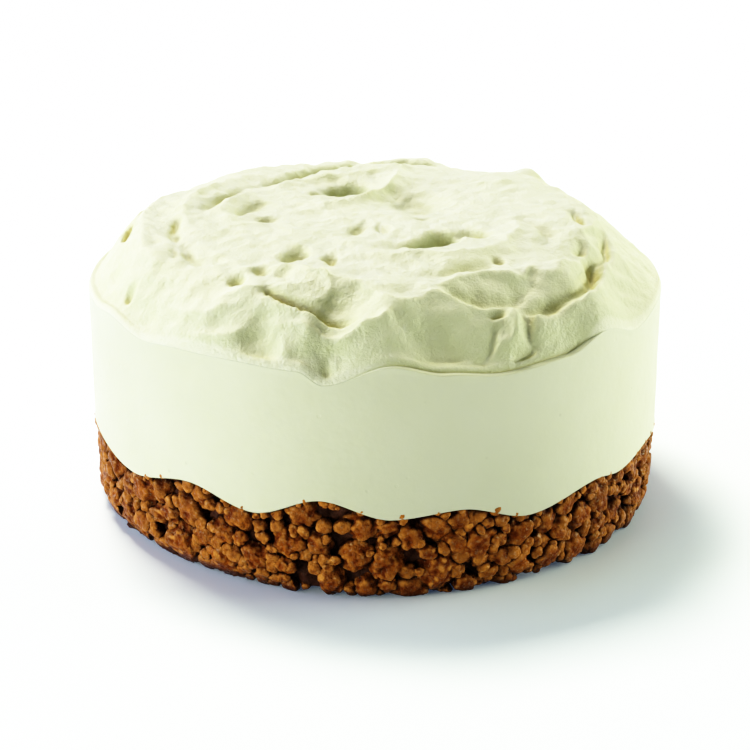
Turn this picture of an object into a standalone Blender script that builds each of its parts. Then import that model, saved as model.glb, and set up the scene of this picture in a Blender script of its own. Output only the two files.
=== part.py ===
import math
import random

import bmesh
import bpy
import numpy as np
from mathutils import Matrix, Vector, geometry, noise

# A small round cheesecake standing on the floor plane: a crumb base, a smooth
# cream filling that runs through it, and a spooned, swirled whipped topping.
# Lengths are in millimetres until a vertex is made. Angles are in degrees,
# 0 to the right, 90 to the rear, 180 to the left and 270 to the front.
MM = 0.001
CAKE_RADIUS = 40.0
GAP = 0.3

# Crumb base
CORE_RADIUS = 37.9
BASE_LEVEL = 11.4
BASE_BLEND_INNER = 31.0
BASE_BLEND_OUTER = 38.5
BASE_SEED = 14
PRESSED = 0.5
FACE_SHARE = 0.70

# Filling
FILLING_LEVEL = 31.3
RIM_BLEND_INNER = 31.0
RIM_BLEND_OUTER = 37.5
RIM_ROUND = 0.35
AROUND = 108

# Topping
TOPPING_RADIUS = 39.6
TOPPING_LEAST = 0.4
WANDER = 0.5
WANDER_LENGTH = 3.6
DIP_SHIFT = 0.7

# Where the filling's lower edge turns: angle, height
LOWER_TURNS = (
    (195, 12.5), (216, 11.1), (233, 13.3), (247, 11.2), (260, 13.9), (273, 11.5), (286, 12.3),
    (300, 9.9), (317, 11.7), (325, 11.0), (338, 11.8), (352, 10.9),
    (370, 12.1), (388, 10.6), (406, 12.4), (424, 11.0), (440, 12.8), (458, 10.8), (477, 12.5),
    (494, 11.2), (512, 12.8), (532, 11.1),
)
# Where the filling's rim turns: angle, height
RIM_TURNS = (
    (200, 31.5), (209, 32.1), (221, 31.0), (231, 31.6), (243, 31.7), (256, 31.3), (260.5, 29.7),
    (273, 32.2), (283, 30.8), (294, 30.0), (308, 30.6), (318.5, 32.5), (330, 30.4), (345, 31.4),
    (366, 31.2), (386, 30.8), (408, 31.5), (430, 30.7), (452, 31.4), (478, 30.8), (500, 31.8),
    (528, 31.2),
)
# Height of the topping over the filling's rim at a distance in from its edge
FRONT_BANK = ((0, 0.5), (0.4, 1.2), (1.5, 2.4), (3.5, 4.5), (6, 6.5), (9, 7.9), (13, 8.6), (19, 9.0),
              (40, 9.3))
LEFT_BANK = ((0, 0.3), (0.8, 0.5), (1.5, 1.7), (3.0, 4.2), (4.6, 6.2), (6.6, 7.5), (10, 8.1), (15, 8.7),
             (40, 9.3))
RIGHT_BANK = ((0, 0.4), (1.5, 1.9), (3.5, 3.8), (6.5, 6.5), (10.5, 9.2), (15, 9.6), (22, 9.4), (40, 9.3))

# Crests left by the spoon: places along each as angle, radius, height, then
# the width of its inner and outer side, and how sharp it is
CRESTS = (
    # outer swirl, front and right
    (((298, 35.0, 0.0), (301, 36.0, 1.0), (306, 36.5, 1.15), (311, 37.0, 1.2), (316, 37.3, 1.3),
      (321, 36.8, 1.5), (327, 35.7, 1.6), (333, 34.5, 1.5), (340, 33.5, 1.1), (346, 32.6, 0.8),
      (354, 31.8, 0.0)), 0.9, 2.4, 1.0),
    # front edge of the top, left of it
    (((256, 28.0, 0.2), (262, 28.6, 0.6), (267, 29.6, 0.7), (271, 32.0, 0.9), (276, 33.8, 1.0),
      (280, 32.8, 1.0), (283, 32.0, 1.0), (287, 33.2, 1.1), (292, 34.2, 1.0), (297, 34.7, 1.0),
      (300, 35.4, 0.5), (302, 36.0, 0.0)), 1.4, 1.3, 1.0),
    # spur running down the bank
    (((299.5, 35.2, 0.4), (299, 36.4, 1.1), (298, 37.6, 1.1), (296, 38.8, 0.3)), 0.7, 0.7, 1.4),
    # inner wavy crest
    (((282, 31.4, 0.0), (286, 30.6, 0.7), (293, 29.5, 1.0), (300, 29.8, 1.0), (304, 30.5, 1.0),
      (307, 31.0, 0.7), (311, 30.5, 0.8), (313, 32.2, 0.8), (316, 32.8, 0.6), (321, 32.0, 0.8),
      (327, 32.0, 0.7), (332, 31.7, 0.9), (337, 30.9, 0.9), (343, 29.8, 0.9), (351, 30.4, 0.8),
      (360, 31.2, 0.5), (368, 31.5, 0.0)), 2.0, 0.8, 1.0),
    # long arc across the top, in front of the large hole
    (((258, 20.0, 0.0), (268, 20.2, 0.6), (276, 21.0, 0.9), (284, 20.4, 1.0), (293, 22.6, 1.1),
      (300, 23.4, 1.1), (312, 23.1, 1.0), (324, 22.6, 0.9), (336, 21.0, 0.6), (347, 18.5, 0.0)),
     2.2, 1.2, 1.05),
    # ridge between the large hole and the one beside it
    (((312, 19.4, 0.2), (314, 16.5, 0.7), (318, 13.6, 0.5), (322, 10.0, 0.0)), 0.8, 0.8, 1.6),
    # rear arcs
    (((152, 18.2, 0.0), (138, 18.2, 0.8), (118, 18.0, 1.2), (98, 17.8, 1.3), (88, 19.4, 1.3),
      (81, 22.6, 1.0), (76, 26.5, 0.5), (72, 30.0, 0.0)), 1.4, 1.4, 1.05),
    (((80, 22.0, 0.2), (79, 14.5, 1.4), (82, 9.6, 1.5), (97, 6.0, 1.6), (122, 4.6, 1.4),
      (150, 5.4, 1.1), (161, 8.8, 0.8), (160, 13.0, 0.5), (163, 17.0, 0.0)), 1.3, 1.7, 1.05),
    # peaks at the rear
    (((92, 31.0, 0.0), (84, 33.2, 1.5), (77, 33.8, 2.3), (70, 33.4, 1.0), (62, 32.6, 0.0)),
     2.4, 2.4, 1.5),
    (((58, 35.2, 0.0), (51, 34.4, 1.6), (46, 34.0, 2.6), (40, 33.6, 1.15), (30, 33.4, 0.0)),
     2.4, 2.2, 1.15),
    (((142, 31.0, 0.0), (124, 31.2, 0.9), (108, 32.4, 1.0), (96, 33.2, 1.0), (88, 33.6, 0.0)),
     1.8, 2.2, 1.15),
    # left
    (((208, 25.0, 0.0), (192, 26.0, 0.7), (178, 26.8, 1.1), (164, 27.2, 1.2), (150, 26.8, 1.1),
      (138, 27.4, 0.6), (126, 27.4, 0.0)), 1.6, 1.8, 1.1),
    (((206, 17.5, 0.0), (190, 20.6, 0.7), (176, 21.6, 0.9), (162, 20.6, 0.8), (148, 20.6, 0.0)),
     1.5, 1.5, 1.05),
    (((216, 34.0, 0.0), (204, 34.0, 0.7), (190, 32.6, 0.9), (176, 32.2, 0.9), (162, 32.0, 0.8),
      (148, 32.4, 0.0)), 2.2, 1.5, 1.15),
    # folds above and below the row of pits at the front left
    (((224, 29.4, 0.0), (232, 29.4, 0.4), (238, 28.6, 0.6), (243, 26.9, 0.9), (248, 26.8, 1.0),
      (253, 28.0, 1.05), (257, 28.2, 1.15), (259.5, 29.8, 1.05), (259.5, 31.6, 1.1), (257, 32.8, 0.5)),
     1.6, 0.9, 1.0),
    (((226, 35.8, 0.0), (234, 35.6, 0.6), (238, 34.7, 0.9), (241, 33.4, 1.0), (246, 31.9, 1.0),
      (251, 31.0, 0.6), (255, 30.6, 0.0)), 0.9, 1.4, 1.05),
    # lip under the crack, and the fold below it that climbs to the right
    (((243, 33.8, 0.2), (247, 34.2, 1.0), (251, 34.7, 1.0), (255, 35.1, 1.1), (259, 35.4, 1.0),
      (262, 35.6, 1.0), (265, 35.8, 0.9), (268, 35.9, 0.6), (270, 35.9, 0.0)), 0.5, 0.9, 1.05),
    (((246, 36.3, 0.0), (250, 36.3, 0.7), (254.5, 36.4, 1.1), (259.5, 36.9, 1.2), (263.5, 37.3, 1.5),
      (266, 36.8, 1.6), (269, 36.2, 1.5), (271, 35.8, 1.2), (272.5, 35.2, 0.8), (273.5, 34.8, 0.0)),
     0.8, 1.3, 1.0),
    (((228, 38.9, 0.0), (235, 39.0, 0.7), (240, 38.8, 1.0), (243, 37.8, 0.7), (246, 36.8, 0.0)),
     0.9, 0.9, 1.05),
    (((218, 36.8, 0.0), (228, 37.2, 0.6), (236, 36.7, 0.8), (240, 35.6, 0.5), (242.5, 34.6, 0.0)),
     0.9, 1.0, 1.05),
    # small ridges on the bank at the front left
    (((251.5, 36.6, 0.0), (252, 37.6, 0.7), (253, 38.6, 0.7), (253.5, 39.3, 0.2)), 0.6, 0.6, 1.4),
    (((256, 37.0, 0.0), (258, 37.4, 0.5), (260.5, 37.6, 0.4), (262, 37.5, 0.0)), 0.6, 0.6, 1.4),
)
# Grooves and cracks, written like the crests with depths. They and the hollows are made
# a little nearer the front than the places listed.
GROOVES = (
    (((301, 33.6, 0.0), (307, 34.6, 0.9), (313, 35.1, 1.2), (319, 35.2, 1.4), (323, 34.6, 1.6),
      (327, 33.8, 1.9), (331, 32.8, 1.8), (335, 32.6, 0.8), (339, 33.2, 1.1), (343, 32.7, 1.5),
      (347, 32.1, 1.3), (352, 31.4, 0.0)), 0.9, 0.8, 1.7),
    (((284, 30.6, 0.0), (290, 32.0, 0.8), (296, 32.4, 1.0), (302, 32.6, 0.9), (307, 32.2, 0.6),
      (311, 31.8, 0.0)), 1.2, 0.8, 1.8),
    (((280, 26.6, 0.0), (287, 26.6, 0.6), (294, 26.4, 0.8), (301, 26.2, 0.7), (306, 25.9, 0.0)),
     1.1, 1.1, 2.0),
    (((350, 19.5, 0.0), (345, 21.5, 0.6), (341, 23.6, 0.8), (334, 25.8, 0.7), (327, 27.0, 0.0)),
     0.9, 0.9, 2.0),
    (((363, 27.4, 0.0), (355.5, 27.8, 1.3), (350.5, 28.2, 1.0), (346, 29.2, 0.0)), 0.6, 0.6, 1.8),
    (((338, 29.7, 0.0), (335, 30.2, 0.8), (333, 30.6, 1.0), (329, 30.6, 0.0)), 0.6, 0.6, 1.8),
    (((296, 35.2, 0.0), (295, 35.8, 0.8), (293, 37.0, 0.8), (292, 37.7, 0.4), (290, 38.6, 0.0)),
     0.6, 0.6, 1.8),
    (((304, 34.9, 0.2), (303, 35.5, 1.2), (302, 36.3, 1.5), (301.5, 37.1, 1.5), (301.5, 37.8, 1.3),
      (298.5, 38.6, 1.2), (296.5, 39.1, 0.2)), 0.9, 0.9, 1.8),
    (((142, 24.6, 0.0), (128, 23.6, 1.4), (118, 25.0, 2.2), (107, 28.6, 2.4), (98, 30.2, 1.4),
      (90, 31.0, 0.0)), 1.5, 1.1, 1.8),
    (((86, 31.6, 0.0), (79, 31.2, 1.8), (72, 31.2, 0.0)), 1.3, 1.3, 2.0),
    (((176, 24.4, 0.0), (164, 23.5, 1.4), (152, 22.9, 1.6), (140, 24.8, 0.0)), 1.1, 0.9, 1.8),
    (((184, 19.4, 0.0), (174, 18.4, 1.1), (164, 17.3, 0.9), (158, 16.8, 0.0)), 0.8, 0.8, 1.8),
    (((170, 33.6, 0.0), (163, 34.0, 2.2), (154, 34.2, 2.0), (148, 34.0, 0.0)), 0.6, 0.6, 1.8),
    (((189, 34.6, 0.0), (181, 34.6, 2.2), (173, 34.8, 2.0), (167, 35.2, 0.0)), 0.6, 0.6, 1.8),
    (((203, 37.0, 0.0), (197, 36.4, 0.9), (191, 35.6, 0.0)), 0.7, 0.7, 1.8),
    (((182, 27.4, 0.0), (187, 27.6, 0.9), (198, 28.6, 0.8), (204, 29.2, 0.2), (209, 30.6, 0.7),
      (212, 31.4, 0.0)), 0.6, 0.6, 1.8),
    (((203, 27.6, 0.0), (208, 28.4, 0.7), (216, 29.6, 0.8), (224, 30.0, 0.0)), 0.8, 0.8, 1.8),
    (((243, 31.2, 0.2), (245.5, 32.1, 1.7), (249, 32.8, 1.7), (253.5, 33.4, 1.4), (258, 33.9, 1.2),
      (262.5, 34.4, 1.0), (266, 34.8, 0.0)), 0.8, 0.5, 1.6),
    (((256, 37.4, 0.0), (260, 37.3, 0.5), (263.5, 37.8, 0.5), (263, 39.2, 0.3)), 0.6, 0.6, 1.8),
    (((260.5, 37.4, 0.0), (261, 38.1, 0.8), (261.5, 38.8, 0.9), (261.5, 39.4, 0.4)), 0.6, 0.6, 1.8),
)
# Hollows: angle, radius, half length round the cake, half width, depth, turn, steepness
HOLLOWS = (
    (305, 15.0, 3.4, 2.2, 4.0, 12, 2.8),
    (287, 14.6, 4.2, 1.3, 1.0, 6, 2.0),
    (323, 16.6, 1.1, 2.0, 1.3, -10, 2.4),
    (308.5, 25.6, 0.7, 0.9, 1.0, 0, 2.4),
    (297, 34.2, 1.3, 0.45, 1.3, 0, 2.4),
    (283, 36.7, 5.0, 2.2, 2.2, -6, 2.6),
    (109, 12.6, 2.6, 2.0, 4.0, 0, 2.8),
    (131, 12.8, 0.9, 0.7, 0.9, 0, 2.2),
    (44, 7.9, 5.0, 3.4, 2.0, -24, 2.2),
    (339, 6.7, 0.8, 1.2, 0.5, 0, 2.2),
    (252, 6.6, 0.9, 3.0, 1.1, 0, 2.2),
    (279, 7.0, 0.8, 2.2, 0.6, 0, 2.2),
    (239.5, 20.8, 1.6, 2.4, 2.0, 12, 2.6),
    (254, 21.0, 0.8, 1.9, 1.5, 10, 2.4),
    (238.5, 27.6, 0.9, 1.2, 1.4, 8, 2.4),
    (235, 30.8, 0.9, 0.9, 1.2, 20, 2.4),
    (245, 27.9, 1.0, 1.0, 0.45, 0, 2.2),
    (210, 37.0, 0.8, 0.8, 1.4, 0, 2.4),
    (188, 14.8, 1.0, 1.1, 1.0, 0, 2.2),
    (264, 31.4, 4.2, 1.9, 1.0, 8, 2.2),
    (256, 38.2, 1.6, 0.8, 0.6, 0, 2.2),
    (248.5, 37.2, 2.8, 2.0, 1.3, 0, 3.0),
    (324, 30.0, 4.6, 1.2, 0.5, 0, 2.0),
    (90, 31.0, 1.6, 0.7, 0.9, 0, 2.0),
)
LUMP_SEED = 5
LUMP_COUNT = 150


def heights_around(turns, angles):
    """Heights at some angles, eased from one turning point to the next."""
    first = turns[0][0]
    places = np.array([turn[0] for turn in turns] + [first + 360], float)
    heights = np.array([turn[1] for turn in turns] + [turns[0][1]], float)
    angle = (np.asarray(angles, float) - first) % 360 + first
    after = np.clip(np.searchsorted(places, angle, side="right"), 1, len(places) - 1)
    share = (angle - places[after - 1]) / (places[after] - places[after - 1])
    ease = share * share * (3 - 2 * share)
    return heights[after - 1] + (heights[after] - heights[after - 1]) * ease


def eased(low, high, value):
    """0 below the low end, 1 above the high end, smooth between."""
    share = np.clip((value - low) / (high - low), 0, 1)
    return share * share * (3 - 2 * share)


def base_top(angles, radii):
    """Underside of the filling."""
    lower = heights_around(LOWER_TURNS, angles)
    return BASE_LEVEL + (lower - BASE_LEVEL) * eased(BASE_BLEND_INNER, BASE_BLEND_OUTER, radii)


def filling_top(angles, radii):
    """Top of the filling, where the topping sits."""
    rim = heights_around(RIM_TURNS, angles)
    return FILLING_LEVEL + (rim - FILLING_LEVEL) * eased(RIM_BLEND_INNER, RIM_BLEND_OUTER, radii)


def bank_height(bank, inward):
    """Height of a bank at distances in from the topping's edge, with its corners eased."""
    steps = np.arange(-4.0, 46.0, 0.1)
    heights = np.interp(steps, [place for place, rise in bank], [rise for place, rise in bank])
    soft = np.ones(13) / 13
    for _ in range(2):
        heights = np.convolve(np.pad(heights, 6, mode="edge"), soft, mode="valid")
    return np.interp(inward, steps, heights)


def dome(angles, radii):
    """Smooth body of the topping before the spoon's marks."""
    inward = TOPPING_RADIUS - radii
    left = eased(150, 165, angles) * (1 - eased(205, 232, angles))
    right = eased(-45, -20, (angles + 180) % 360 - 180) * (1 - eased(38, 60, (angles + 180) % 360 - 180))
    front = 1 - left - right
    rise = front * bank_height(FRONT_BANK, inward)
    rise = rise + left * bank_height(LEFT_BANK, inward) + right * bank_height(RIGHT_BANK, inward)
    rim = heights_around(RIM_TURNS, angles)
    level = FILLING_LEVEL + (rim - FILLING_LEVEL) * eased(24, 39, radii)
    return level + rise


def polar(angle, radius):
    return np.array((radius * math.cos(math.radians(angle)), radius * math.sin(math.radians(angle))))


def curved_path(places):
    """Points and heights along a smooth line through places given as angle, radius, height."""
    rows = np.array(places, float)
    rows = np.vstack((2 * rows[0] - rows[1], rows, 2 * rows[-1] - rows[-2]))
    line = []
    for a, b, c, d in zip(rows, rows[1:], rows[2:], rows[3:]):
        for share in np.arange(0, 1, 1 / 6):
            line.append(0.5 * (2 * b + (c - a) * share + (2 * a - 5 * b + 4 * c - d) * share ** 2
                               + (3 * b - a - 3 * c + d) * share ** 3))
    line = np.array(line + [rows[-2]])
    points = np.column_stack((line[:, 1] * np.cos(np.radians(line[:, 0])),
                              line[:, 1] * np.sin(np.radians(line[:, 0]))))
    return points, np.maximum(line[:, 2], 0)


def along_path(points, places, inner, outer, power):
    """Height of a crest at some points in plan. Its inner side is the one nearer the middle."""
    path, heights = curved_path(places)
    nearest = np.full(len(points), 1e9)
    height = np.zeros(len(points))
    width = np.full(len(points), float(outer))
    for a, b, low, high in zip(path, path[1:], heights, heights[1:]):
        step = b - a
        offset = points - a
        share = np.clip(offset @ step / max(step @ step, 1e-9), 0, 1)
        away = offset - share[:, None] * step
        distance = np.hypot(away[:, 0], away[:, 1])
        near = distance < nearest
        nearest[near] = distance[near]
        height[near] = (low + (high - low) * share)[near]
        outward = away[:, 0] * (a[0] + b[0]) + away[:, 1] * (a[1] + b[1])
        width[near] = np.where(outward > 0, outer, inner)[near]
    return height * np.exp(-(nearest / width) ** power)


def hollow(points, angle, radius, length, width, depth, turn, steepness):
    heading = math.radians(angle + 90 + turn)
    offset = points - polar(angle, radius)
    lengthwise = offset @ np.array((math.cos(heading), math.sin(heading)))
    crosswise = offset @ np.array((-math.sin(heading), math.cos(heading)))
    return -depth * np.exp(-np.hypot(lengthwise / length, crosswise / width) ** steepness)


def lumps(points):
    """Broad soft unevenness over the whole topping."""
    draw = random.Random(LUMP_SEED)
    total = np.zeros(len(points))
    for _ in range(LUMP_COUNT):
        place = polar(draw.uniform(0, 360), 39 * math.sqrt(draw.random()))
        size = draw.uniform(1.6, 4.2)
        rise = draw.uniform(-0.22, 0.26) * size / 3
        offset = points - place
        total += rise * np.exp(-(np.hypot(offset[:, 0], offset[:, 1]) / size) ** 2)
    return total


def noise_at(points, scale, seed=0.0):
    """Soft noise from -1 to 1 at points in millimetres."""
    shift = Vector((seed, seed * 1.7, seed * 0.6))
    return np.array([noise.noise(Vector(point) / scale + shift) for point in points])


def wandered(points):
    """Points in plan shifted by noise, so that the marks made at them run unevenly."""
    flat = np.column_stack((points, np.zeros(len(points))))
    shifts = []
    for seed in (11.3, 23.9):
        broad = WANDER * noise_at(flat, WANDER_LENGTH, seed)
        narrow = 0.45 * WANDER * noise_at(flat, 0.4 * WANDER_LENGTH, seed)
        shifts.append(broad + narrow)
    return points + np.column_stack(shifts)


def topping_top(points):
    """Height of the topping at points in plan."""
    radii = np.hypot(points[:, 0], points[:, 1])
    angles = np.degrees(np.arctan2(points[:, 1], points[:, 0])) % 360
    marks = lumps(points)
    marked = wandered(points)
    for places, inner, outer, power in CRESTS:
        marks += along_path(marked, places, inner, outer, power)
    dipped = marked + np.array((0, DIP_SHIFT))
    for places, inner, outer, power in GROOVES:
        marks -= along_path(dipped, places, inner, outer, power)
    for place in HOLLOWS:
        marks += hollow(dipped, *place)
    marks *= 1 - 0.8 * eased(TOPPING_RADIUS - 0.6, TOPPING_RADIUS, radii)
    least = filling_top(angles, radii) + GAP + TOPPING_LEAST
    return np.maximum(dome(angles, radii) + marks, least)


for old in list(bpy.context.scene.objects):
    bpy.data.objects.remove(old)


def new_collection(name):
    collection = bpy.data.collections.new(name)
    bpy.context.scene.collection.children.link(collection)
    return collection


def new_material(name, colour, roughness):
    material = bpy.data.materials.new(name)
    material.use_nodes = True
    shader = material.node_tree.nodes["Principled BSDF"]
    shader.inputs["Base Color"].default_value = (*colour, 1)
    shader.inputs["Roughness"].default_value = roughness
    shader.inputs["Metallic"].default_value = 0
    return material


def new_object(name, vertices, faces, collection, material=None, smooth=False):
    """A mesh object from vertices in millimetres."""
    mesh = bpy.data.meshes.new(name)
    mesh.from_pydata([Vector(v) * MM for v in vertices], [], faces)
    if smooth:
        mesh.polygons.foreach_set("use_smooth", [True] * len(mesh.polygons))
    thing = bpy.data.objects.new(name, mesh)
    if material:
        mesh.materials.append(material)
    collection.objects.link(thing)
    return thing


def ring(radius, heights):
    """One turn of vertices, heights given at each of its angles."""
    turn = []
    for i, height in enumerate(heights):
        angle = 2 * math.pi * i / len(heights)
        turn.append((radius * math.cos(angle), radius * math.sin(angle), float(height)))
    return turn


def lofted(rings):
    """Vertices and faces of a body closed by flat faces inside its first and last ring, listed bottom up.

    Each band is split along lines that run one way from its wider ring, so touching layers
    follow each other.
    """
    count = len(rings[0])
    vertices = [vertex for turn in rings for vertex in turn]
    faces = [list(range(count))[::-1]]
    for level in range(len(rings) - 1):
        low = level * count
        high = low + count
        widening = rings[level + 1][0][0] > rings[level][0][0]
        for i in range(count):
            j = (i + 1) % count
            if widening:
                faces.extend(([low + i, low + j, high + i], [low + j, high + j, high + i]))
            else:
                faces.extend(([low + i, low + j, high + j], [low + i, high + j, high + i]))
    faces.append([(len(rings) - 1) * count + i for i in range(count)])
    return vertices, faces


cake = new_collection("small_cheesecake")
angles_around = np.arange(AROUND) * 360 / AROUND

# Crumb base: a flat-bottomed core with crumbs fused round its side
crumb_brown = new_material("baked_crumb", (0.30, 0.105, 0.018), 0.6)
crumb_parts = new_collection("crumbs")
core_rings = [ring(CORE_RADIUS - 1.4, [0] * AROUND), ring(CORE_RADIUS, [2.0] * AROUND)]
for radius in (CORE_RADIUS, BASE_BLEND_INNER):
    core_rings.append(ring(radius, base_top(angles_around, radius) - GAP))
core_vertices, core_faces = lofted(core_rings)
crumb_base = new_object("crumb_base", core_vertices, core_faces, cake, crumb_brown)


def crumb_layout():
    """Crumbs pressed round the side as angle, radius, height, size, largest first, none far over another."""
    draw = random.Random(BASE_SEED)
    placed = []
    for count, least, most, closeness in ((34, 2.6, 3.3, 0.86), (84, 1.8, 2.5, 0.74), (50, 1.2, 1.7, 0.70)):
        tries = 0
        wanted = len(placed) + count
        while len(placed) < wanted and tries < 6000:
            tries += 1
            size = draw.uniform(least, most)
            angle = draw.uniform(0, 360)
            roof = float(heights_around(LOWER_TURNS, [angle])[0])
            height = draw.uniform(size * 0.55, roof - size * 0.75)
            radius = CAKE_RADIUS - 0.25 - size * draw.uniform(0.72, 0.95)
            if height < 3:
                radius -= (3 - height) * 0.45
            clear = True
            for other_angle, other_radius, other_height, other_size in placed:
                across = math.radians((angle - other_angle + 180) % 360 - 180) * 39
                if math.hypot(across, height - other_height) < (size + other_size) * closeness:
                    clear = False
                    break
            if clear:
                placed.append((angle, radius, height, size))
    return placed


def pressed(value, limit, room):
    """Value kept under a limit, easing up to it over the room below it."""
    if value < limit - room:
        return value
    return limit - room * math.exp((limit - room - value) / room)


def crumb_shape(index, place, subdivisions):
    """One crumb: a lumpy ball pressed flush with the cake's side, clear of the floor and the filling."""
    angle, radius, height, size = place
    draw = random.Random(BASE_SEED * 1000 + index)
    shape = bmesh.new()
    bmesh.ops.create_icosphere(shape, subdivisions=subdivisions, radius=1)
    turn = draw.uniform(0, math.tau)
    axis = Vector((draw.random(), draw.random(), draw.random() + 0.1))
    turned = Matrix.Rotation(turn, 3, axis)
    stretch = Vector((draw.uniform(0.85, 1.2), draw.uniform(0.85, 1.15), draw.uniform(0.75, 1.0)))
    shift = Vector((draw.uniform(0, 50), draw.uniform(0, 50), draw.uniform(0, 50)))
    centre = Vector((radius * math.cos(math.radians(angle)), radius * math.sin(math.radians(angle)), height))
    for vertex in shape.verts:
        direction = vertex.co.normalized()
        swell = 1 + 0.26 * noise.noise(direction * 1.7 + shift)
        place_now = centre + size * swell * (turned @ (direction * stretch))
        reach = math.hypot(place_now.x, place_now.y)
        inside = pressed(reach, CAKE_RADIUS - 0.05, PRESSED)
        place_now.x *= inside / reach
        place_now.y *= inside / reach
        around = math.degrees(math.atan2(place_now.y, place_now.x))
        roof = float(base_top([around], inside)[0]) - GAP - 0.05
        place_now.z = pressed(place_now.z, roof, 0.4)
        place_now.z = -pressed(-place_now.z, -0.05, 0.4)
        vertex.co = place_now
    vertices = [tuple(vertex.co) for vertex in shape.verts]
    faces = [[vertex.index for vertex in face.verts] for face in shape.faces]
    shape.free()
    return vertices, faces


for index, place in enumerate(crumb_layout()):
    fineness = 2 if place[3] > 2.5 else 1
    crumb_vertices, crumb_faces = crumb_shape(index, place, fineness)
    new_object("crumb_%03d" % index, crumb_vertices, crumb_faces, crumb_parts)

joined = crumb_base.modifiers.new("crumbs", "BOOLEAN")
joined.operation = "UNION"
joined.operand_type = "COLLECTION"
joined.collection = crumb_parts
joined.solver = "MANIFOLD"
bpy.context.view_layer.objects.active = crumb_base
bpy.ops.object.modifier_apply(modifier=joined.name)
for crumb in list(crumb_parts.objects):
    bpy.data.objects.remove(crumb)
bpy.data.collections.remove(crumb_parts)
fewer = crumb_base.modifiers.new("fewer_faces", "DECIMATE")
fewer.ratio = FACE_SHARE
bpy.ops.object.modifier_apply(modifier=fewer.name)


def keep_largest_shell(thing):
    """Removes sealed hollows and loose scraps, so one closed body is left."""
    body = bmesh.new()
    body.from_mesh(thing.data)
    unseen = set(body.verts)
    shells = []
    while unseen:
        start = unseen.pop()
        shell = [start]
        waiting = [start]
        while waiting:
            for edge in waiting.pop().link_edges:
                for vertex in edge.verts:
                    if vertex in unseen:
                        unseen.remove(vertex)
                        shell.append(vertex)
                        waiting.append(vertex)
        shells.append(shell)
    shells.sort(key=len)
    for shell in shells[:-1]:
        bmesh.ops.delete(body, geom=shell, context="VERTS")
    bmesh.ops.triangulate(body, faces=body.faces)
    body.to_mesh(thing.data)
    body.free()


keep_largest_shell(crumb_base)

# Filling: a solid disc with a wavering lower edge and rim
filling_cream = new_material("filling_cream", (0.84, 0.84, 0.62), 0.42)
filling_rings = []
inside_wall = CAKE_RADIUS - RIM_ROUND
for radius, lift in ((BASE_BLEND_INNER, 0), (CORE_RADIUS, 0), (inside_wall, 0), (CAKE_RADIUS, RIM_ROUND)):
    filling_rings.append(ring(radius, base_top(angles_around, radius) + lift))
for radius, drop in ((CAKE_RADIUS, RIM_ROUND), (inside_wall, 0), (RIM_BLEND_OUTER, 0), (RIM_BLEND_INNER, 0)):
    filling_rings.append(ring(radius, filling_top(angles_around, radius) - drop))
filling_vertices, filling_faces = lofted(filling_rings)
filling = new_object("filling", filling_vertices, filling_faces, cake, filling_cream, True)

# Whipped topping: rings of points, closer together on the bank, raised to the spooned surface
topping_cream = new_material("whipped_cream", (0.88, 0.88, 0.70), 0.5)


def topping_points():
    """Points in plan for the topping's upper face, with the edge ring first."""
    points = [tuple(polar(angle, TOPPING_RADIUS)) for angle in angles_around]
    spacing = 1.45
    radius = TOPPING_RADIUS - spacing * 0.8
    row = 0
    while radius > 1:
        count = round(2 * math.pi * radius / (spacing * 1.12))
        for i in range(count):
            points.append(tuple(polar((i + 0.5 * (row % 2)) * 360 / count, radius)))
        row += 1
        spacing = 1.45 if radius > 29 else 2.05
        radius -= spacing
    points.append((0.0, 0.0))
    return points


plan = [Vector(point) for point in topping_points()]
corners, _, triangles, *_ = geometry.delaunay_2d_cdt(plan, [], [list(range(AROUND))], 1, 0.01)
corner_array = np.array([tuple(corner) for corner in corners])
top_heights = topping_top(corner_array)
topping_vertices = [(x, y, float(z)) for (x, y), z in zip(corner_array, top_heights)]
topping_faces = [list(triangle) for triangle in triangles]
edge_index = []
for angle in angles_around:
    away = np.hypot(*(corner_array - polar(angle, TOPPING_RADIUS)).T)
    edge_index.append(int(np.argmin(away)))
under_rings = [edge_index]
for radius in (TOPPING_RADIUS, RIM_BLEND_OUTER, RIM_BLEND_INNER):
    first = len(topping_vertices)
    topping_vertices.extend(ring(radius, filling_top(angles_around, radius) + GAP))
    under_rings.append(list(range(first, first + AROUND)))
for upper, lower in zip(under_rings, under_rings[1:]):
    for i in range(AROUND):
        j = (i + 1) % AROUND
        topping_faces.append([upper[j], upper[i], lower[j]])
        topping_faces.append([upper[i], lower[i], lower[j]])
topping_faces.append(under_rings[-1][::-1])
topping = new_object("whipped_topping", topping_vertices, topping_faces, cake, topping_cream, True)

for thing in cake.objects:
    body = bmesh.new()
    body.from_mesh(thing.data)
    bmesh.ops.recalc_face_normals(body, faces=body.faces)
    body.to_mesh(thing.data)
    body.free()
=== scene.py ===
import math
import random

import bmesh
import bpy
import numpy as np
from mathutils import Matrix, Vector, noise


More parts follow.
